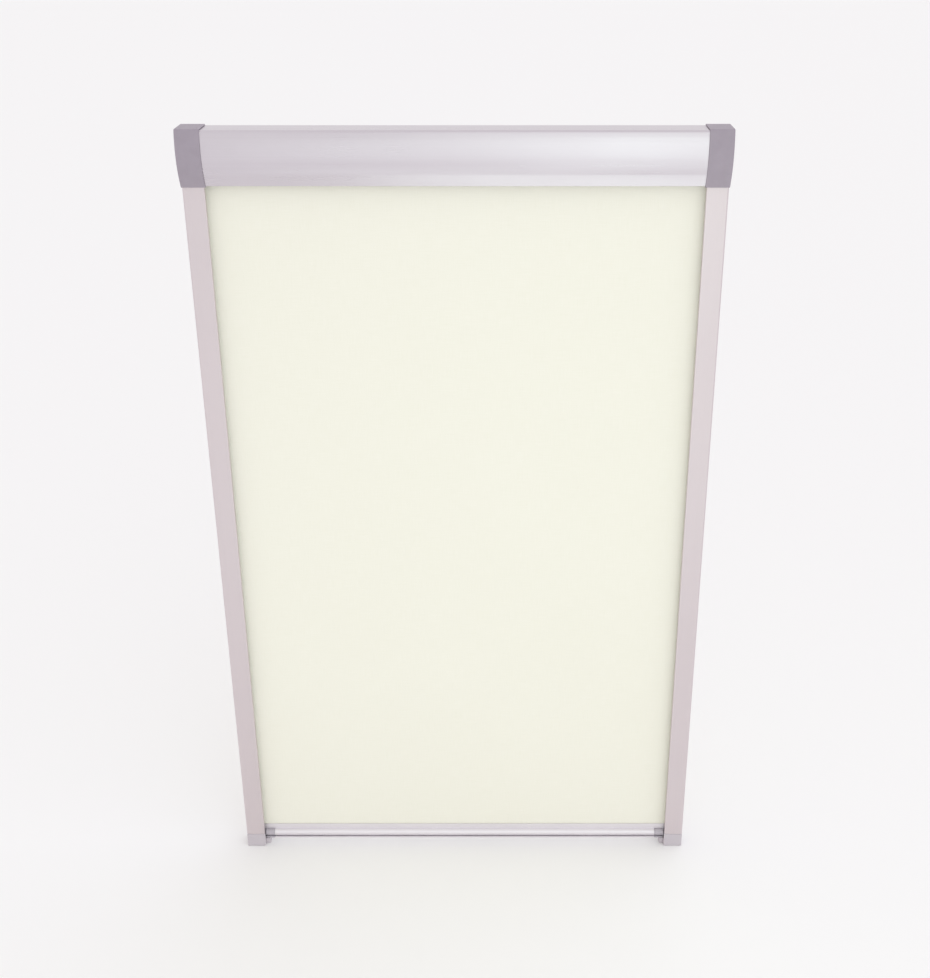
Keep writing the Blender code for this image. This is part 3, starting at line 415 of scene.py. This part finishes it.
finishes = {
    "headbox_aluminium": anodisedAluminium("anodisedAluminiumHeadbox", "#cdc6cd", "#d8d1d8", "X",
                                           1.5 * mm),
    # the bar's aluminium is given a lighter colour than the headbox's and the rails': painted light on its
    # strip and bulge
    "bar_aluminium": anodisedAluminium("anodisedAluminiumBarPaintedLight", "#e7e3e8", "#f2eef2", "X",
                                       1.2 * mm, (0.46, 0.58)),
    "rail_aluminium": anodisedAluminium("anodisedAluminiumRail", "#d5cbce", "#e0d6d9", "Z",
                                        1.5 * mm, (0.42, 0.54)),
    "tube_aluminium": anodisedAluminium("millAluminiumTube", "#c9cacc", "#dddee0", "X",
                                        0.8 * mm, (0.36, 0.5)),
    "cap_plastic": mouldedPlastic("mouldedAbsCap", "#998f9a", "#a59ba6", "#b5acb6"),
    "foot_plastic": mouldedPlastic("mouldedAbsFoot", "#c2bac0", "#cbc4c9", "#d6d0d4"),
    "bar_end_plastic": mouldedPlastic("mouldedAcetalBarEnd", "#b4aeb6", "#beb8bf", "#cbc6cc", 0.42),
    "nylon": mouldedPlastic("mouldedNylon", "#dedbd0", "#e9e6dc", "#efece4", 0.4, 0.9),
    "brake_pad": mouldedPlastic("mouldedRubberPad", "#3a3a3c", "#464649", "#57575a", 0.75, 0.6, 1.5),
    "pile": brushPile("brushPilePale", "#d6d4d2", "#ebe9e6"),
    "steel": platedSteel("zincPlatedSteel", "#b4b5ba", "#d3d4d8"),
    "cloth": blackoutCloth("coatedBlackoutCloth", "#f0eee0", "#f4f2e6"),
}
print("materials ready:", len(finishes))


# Pieces taken over from the frame: a merged copy of each node, its edges rounded

def link(name, bm, finish, body, smoothAngle=40):
    mesh = bpy.data.meshes.new(name)
    for edge in bm.edges:
        edge.smooth = edge.is_manifold and edge.calc_face_angle() < math.radians(smoothAngle)
    for face in bm.faces:
        face.smooth = True
    bm.to_mesh(mesh)
    bm.free()
    piece = bpy.data.objects.new(name, mesh)
    bpy.context.scene.collection.objects.link(piece)
    mesh.materials.append(finishes[finish])
    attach(piece, body)
    return piece


edgeWidths = {  # node: slot, edge radius in mm
    "headbox_cover": ("headbox_aluminium", 0.25),
    "headbox_back_profile": ("headbox_aluminium", 0.25),
    "end_cap_left": ("cap_plastic", 0.15),
    "end_cap_right": ("cap_plastic", 0.15),
    "side_rail_left": ("rail_aluminium", 0.2),
    "side_rail_right": ("rail_aluminium", 0.2),
    "foot_cap_left": ("foot_plastic", 0.2),
    "foot_cap_right": ("foot_plastic", 0.2),
    "bar_profile": ("bar_aluminium", 0.2),
    "bar_end_left": ("bar_end_plastic", 0.3),
    "bar_end_right": ("bar_end_plastic", 0.3),
    "brake_shoe_left": ("brake_pad", 0.15),
    "brake_shoe_right": ("brake_pad", 0.15),
    "brake_spring_left": ("steel", 0),
    "brake_spring_right": ("steel", 0),
    "hem_rod": ("nylon", 0.15),
    "roller_tube": ("tube_aluminium", 0.1),
    "roller_spline": ("nylon", 0.1),
    "spring_end_plug": ("nylon", 0.2),
    "idle_end_plug": ("nylon", 0.2),
    "spring_driver": ("nylon", 0.2),
    "spring_anchor": ("nylon", 0.2),
    "spring_shaft": ("steel", 0.2),
    "idle_pin": ("steel", 0.2),
    "main_spring": ("steel", 0),
}

rounding = {
    "mergeDistance": 0.002 * mm,
    "flatAngle": 0.6,  # degrees: faces that turn less are joined
    "sharpAngle": 38,  # degrees: edges that turn more are rounded
    "segments": 2,
    "sliver": 0.01 * mm,
    "faceWeight": 100,
}


def refineNode(node, finish, radius):
    source = frame["nodes"][node]
    bm = bmesh.new()
    bm.from_mesh(source.data)
    bmesh.ops.remove_doubles(bm, verts=bm.verts, dist=rounding["mergeDistance"])
    bmesh.ops.dissolve_limit(bm, angle_limit=math.radians(rounding["flatAngle"]),
                             verts=bm.verts, edges=bm.edges)
    if radius:
        worn = bm.faces.layers.float.new("edgeWear")
        limit = math.radians(rounding["sharpAngle"])
        sharp = [e for e in bm.edges if e.is_manifold and e.calc_face_angle() > limit]
        made = bmesh.ops.bevel(bm, geom=sharp, offset=radius * mm, offset_type="OFFSET",
                               segments=rounding["segments"], profile=0.5, affect="EDGES",
                               clamp_overlap=True, material=-1)
        for face in made["faces"]:
            face[worn] = 1
        bmesh.ops.dissolve_degenerate(bm, edges=bm.edges, dist=rounding["sliver"])
    piece = link(node + "_finished", bm, finish, source["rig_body"])
    if radius:  # the broad faces keep their own normals, and the rounded edges blend between them
        shading = piece.modifiers.new("shading", "WEIGHTED_NORMAL")
        shading.keep_sharp = True
        shading.weight = rounding["faceWeight"]
    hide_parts(node)


for nodeName, (slotName, edgeRadius) in edgeWidths.items():
    refineNode(nodeName, slotName, edgeRadius)
print("frame pieces finished:", len(edgeWidths))


# Countersunk screws in the end caps

screw = {
    "depth": 3.7 * mm,
    "height": 27.3 * mm,
    "length": 14 * mm,
    "shankRadius": 1.5 * mm,
    "headRadius": 2.9 * mm,
    "headTop": 0.3 * mm,  # under the cap's face
    "headFoot": 2 * mm,
    "steps": 32,
    "mergeDistance": 0.001 * mm,
    "recessDepth": 1.1 * mm,
    "recessTaper": 0.7,
    "recessTurn": 20,  # degrees
    "armRadius": 1.6 * mm,
    "armRoot": 0.62 * mm,
    "armHalfAngle": 14,  # degrees
    "smoothAngle": 30,  # degrees
}


def makeScrew(side, word, upper):
    name = f"cap_screw_{word}_{upper}"
    shank, head = screw["shankRadius"], screw["headRadius"]
    profile = [(0, screw["headTop"]), (head, screw["headTop"]), (shank, screw["headFoot"]),
               (shank, screw["length"] - shank), (shank / 2, screw["length"]), (0, screw["length"])]
    bm = bmesh.new()
    points = [bm.verts.new((radius, 0, -reach)) for radius, reach in profile]
    edges = [bm.edges.new(pair) for pair in zip(points, points[1:])]
    bmesh.ops.spin(bm, geom=points + edges, cent=(0, 0, 0), axis=(0, 0, 1), angle=math.tau,
                   steps=screw["steps"], use_merge=True)
    bmesh.ops.remove_doubles(bm, verts=bm.verts, dist=screw["mergeDistance"])
    bmesh.ops.recalc_face_normals(bm, faces=bm.faces)
    pole = max(bm.verts, key=lambda v: v.co.z - v.co.xy.length)
    top = bmesh.ops.dissolve_faces(bm, faces=pole.link_faces[:])["region"][0]
    bmesh.ops.inset_individual(bm, faces=[top], thickness=head - screw["armRadius"])
    for vert in top.verts:  # the ring is drawn in between the four arms of the cross recess
        turn = math.degrees(math.atan2(vert.co.y, vert.co.x)) % 90
        onArm = min(turn, 90 - turn) < screw["armHalfAngle"]
        reach = screw["armRadius"] if onArm else screw["armRoot"]
        vert.co.xy = vert.co.xy.normalized() * reach
    made = bmesh.ops.extrude_face_region(bm, geom=[top])
    sunk = [g for g in made["geom"] if isinstance(g, bmesh.types.BMVert)]
    bmesh.ops.delete(bm, geom=[top], context="FACES")
    bmesh.ops.scale(bm, verts=sunk, vec=(screw["recessTaper"], screw["recessTaper"], 1))
    bmesh.ops.translate(bm, verts=sunk, vec=(0, 0, -screw["recessDepth"]))
    bmesh.ops.recalc_face_normals(bm, faces=bm.faces)
    height = screw["height"] if upper == "upper" else -screw["height"]
    end = side * (cadBox[1].x - cadBox[0].x) / 2
    place = Matrix.Translation((end, -screw["depth"], height))
    outward = Matrix.Rotation(side * math.pi / 2, 4, "Y")
    turned = Matrix.Rotation(math.radians(screw["recessTurn"]), 4, "Z")
    bmesh.ops.transform(bm, verts=bm.verts, matrix=place @ outward @ turned)
    piece = link(name + "_finished", bm, "steel", "frame", screw["smoothAngle"])
    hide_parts(name)


for side, word in sides:
    for upper in ("upper", "lower"):
        makeScrew(side, word, upper)
print("screws made")


# Pile seals: a woven base strip and rows of tufts

seal = {
    "step": 1.0 * mm,
    "rows": 3,
    "rowGap": 0.85 * mm,
    "baseHeight": 1 * mm,
    "tipReach": 0.12 * mm,  # past the CAD pile's crown, still clear of the bar's strip
    "tuftSides": 4,
    "rootRadius": 0.52 * mm,
    "tipRadius": 0.16 * mm,
    "stray": 0.22 * mm,
    "strayFrom": 0.5,  # the share of a tuft's length that stays straight
    "smoothAngle": 60,  # degrees
}


def makeSeal(word, face):
    node = f"pile_seal_{word}_{face}"
    low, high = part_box(node)
    inward = -1 if face == "front" else 1  # the way the pile points, in depth
    base, crown = (-high.y, -low.y) if inward == 1 else (-low.y, -high.y)
    root = base + inward * seal["baseHeight"]
    length = abs(crown + inward * seal["tipReach"] - root)
    middle = (low.x + high.x) / 2
    bm = bmesh.new()
    for row in range(seal["rows"]):
        aside = (row - (seal["rows"] - 1) / 2) * seal["rowGap"]
        bmesh.ops.create_cone(bm, cap_ends=True, segments=seal["tuftSides"],
                              radius1=seal["rootRadius"], radius2=seal["tipRadius"], depth=length,
                              matrix=Matrix.Translation((aside, 0, length / 2)))
    turn = Matrix.Rotation(inward * math.pi / 2, 4, "X")  # from along +Z to the pile's way
    bmesh.ops.transform(bm, verts=bm.verts, matrix=turn)
    bmesh.ops.translate(bm, verts=bm.verts, vec=(middle, -root, high.z - seal["step"] / 2))
    count = math.isqrt(int((high.z - low.z) / seal["step"]))  # a block of rows, and as many blocks
    for step in (seal["step"], (high.z - low.z) / count):
        bmesh.ops.spin(bm, geom=bm.verts[:] + bm.edges[:] + bm.faces[:], cent=(0, 0, 0), axis=(0, 0, 1),
                       dvec=(0, 0, -step), angle=0, steps=count - 1, use_duplicate=True)
    chance = random.Random(node)
    for vert in bm.verts:
        share = abs(-vert.co.y - root) / length
        if share > seal["strayFrom"]:
            vert.co.x += chance.uniform(-1, 1) * seal["stray"]
            vert.co.z += chance.uniform(-1, 1) * seal["stray"]
            vert.co.y += inward * chance.uniform(0, 1) * seal["stray"]
    made = bmesh.ops.create_cube(bm, size=1)
    strip = Matrix.Translation((middle, -(base + root) / 2, (low.z + high.z) / 2))
    size = Matrix.Diagonal((high.x - low.x, seal["baseHeight"], high.z - low.z, 1))
    bmesh.ops.transform(bm, verts=made["verts"], matrix=strip @ size)
    piece = link(node + "_finished", bm, "pile", "frame", seal["smoothAngle"])
    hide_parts(node)


for side, word in sides:
    for face in ("front", "back"):
        makeSeal(word, face)
print("pile seals made")


# Cloth: the taut sheet, its hem in the bottom bar and the turns on the roller

cloth = {
    "thickness": 0.35 * mm,
    "barGap": 0.3 * mm,  # the taut part ends this far above the bar
    "columns": 58,
    "rows": 92,
    "wave": 0.28 * mm,
    "waveShare": 0.6,
    "waves": ((1, 17, 2, 0), (0.6, 31, -3, 1)),  # share, turn across, turn down and start, in radians
    "holdDown": 0.6,  # how quickly the waves rise from the held edges
    "holdAcross": 0.5,
    "hemColumns": 20,
    "hemRows": 2,
    "hemWidth": 579.2 * mm,  # between the ends of the bar's strip
    "tailWidth": 533.8 * mm,  # between the bar ends
    "tailTop": 7.6 * mm,  # below the hem's top
    "tolerance": 0.01 * mm,
    "rollTurns": 2.0,
    "rollInner": 8.85 * mm,
    "rollThickness": 0.28 * mm,  # a little under the pitch, so that the turns stay apart
    "pitch": 0.31 * mm,
    "rollSteps": 48,
}
clothLow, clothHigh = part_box("cloth_sheet")
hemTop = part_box("bar_profile")[1].z + cloth["barGap"]
clothY = (clothLow.y + clothHigh.y) / 2
sheetWidth = clothHigh.x - clothLow.x
sheetHeight = clothHigh.z - hemTop


def unwrap(bm):
    layer = bm.loops.layers.uv.new("cut")
    for face in bm.faces:
        for loop in face.loops:
            loop[layer].uv = (loop.vert.co.x, loop.vert.co.z)


def thicken(piece, thickness):
    wall = piece.modifiers.new("thickness", "SOLIDIFY")
    wall.thickness = thickness
    wall.offset = 0
    wall.use_even_offset = True


def uprightGrid(columns, rows, width, low, high):
    bm = bmesh.new()
    bmesh.ops.create_grid(bm, x_segments=columns, y_segments=rows, size=0.5)
    place = Matrix.Translation((0, clothY, (high + low) / 2)) @ Matrix.Rotation(math.pi / 2, 4, "X")
    size = Matrix.Diagonal((width, high - low, 1, 1))
    bmesh.ops.transform(bm, verts=bm.verts, matrix=place @ size)
    return bm


def makeSheet():
    bm = uprightGrid(cloth["columns"], cloth["rows"], sheetWidth, hemTop, clothHigh.z)
    for vert in bm.verts:  # the faint waves of a cloth held taut between its roller and its bar
        down = (clothHigh.z - vert.co.z) / sheetHeight
        across = vert.co.x / sheetWidth + 0.5
        heldDown = max(0, math.sin(math.pi * down)) ** cloth["holdDown"]
        heldAcross = max(0, math.sin(math.pi * across)) ** cloth["holdAcross"]
        wave = sum(share * math.sin(across * turnAcross + turnDown * down + start)
                   for share, turnAcross, turnDown, start in cloth["waves"])
        vert.co.y += cloth["wave"] * cloth["waveShare"] * heldDown * heldAcross * wave
    unwrap(bm)
    piece = link("cloth_sheet_finished", bm, "cloth", "frame")
    thicken(piece, cloth["thickness"])
    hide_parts("cloth_sheet")
    return piece


def makeHem():
    low = hemTop - cloth["tailTop"]
    bm = uprightGrid(cloth["hemColumns"], cloth["hemRows"], cloth["hemWidth"], low, hemTop)
    for side, _ in sides:
        edge = (side * cloth["tailWidth"] / 2, 0, 0)
        bmesh.ops.bisect_plane(bm, geom=bm.verts[:] + bm.edges[:] + bm.faces[:],
                               plane_co=edge, plane_no=(1, 0, 0))
    foot = [e for e in bm.edges if all(v.co.z < low + cloth["tolerance"] for v in e.verts)
            and abs(sum(v.co.x for v in e.verts)) < cloth["tailWidth"]]
    made = bmesh.ops.extrude_edge_only(bm, edges=foot)
    tail = [g for g in made["geom"] if isinstance(g, bmesh.types.BMVert)]
    bmesh.ops.translate(bm, verts=tail, vec=(0, 0, clothLow.z - low))
    unwrap(bm)
    piece = link("cloth_hem", bm, "cloth", "bottom_bar")
    thicken(piece, cloth["thickness"])
    return piece


def makeRoll():
    low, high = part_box("cloth_wraps")
    centre = (low + high) / 2
    bm = bmesh.new()
    ends = [bm.verts.new((x, 0, cloth["rollInner"])) for x in (low.x, high.x)]
    edge = bm.edges.new(ends)
    steps = int(cloth["rollSteps"] * cloth["rollTurns"])
    bmesh.ops.spin(bm, geom=ends + [edge], cent=(0, 0, 0), axis=(1, 0, 0),
                   angle=math.tau * cloth["rollTurns"], steps=steps)
    bm.verts.ensure_lookup_table()
    for i, vert in enumerate(bm.verts):  # each step leaves two vertices, one at each end of the roller
        turns = (i // 2) / cloth["rollSteps"]
        radius = cloth["rollInner"] + turns * cloth["pitch"]
        flat = Vector((0, vert.co.y, vert.co.z)).normalized() * radius
        vert.co = Vector((vert.co.x, flat.y, flat.z))
    layer = bm.loops.layers.uv.new("cut")
    for face in bm.faces:
        for loop in face.loops:
            turn = (loop.vert.index // 2) / cloth["rollSteps"]
            loop[layer].uv = (loop.vert.co.x, turn * math.tau * cloth["rollInner"])
    bmesh.ops.translate(bm, verts=bm.verts, vec=(0, centre.y, centre.z))
    piece = link("cloth_wraps_finished", bm, "cloth", "roller")
    thicken(piece, cloth["rollThickness"])
    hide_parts("cloth_wraps")
    return piece


sheet = makeSheet()
hem = makeHem()
roll = makeRoll()
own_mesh(sheet)
print("cloth made")
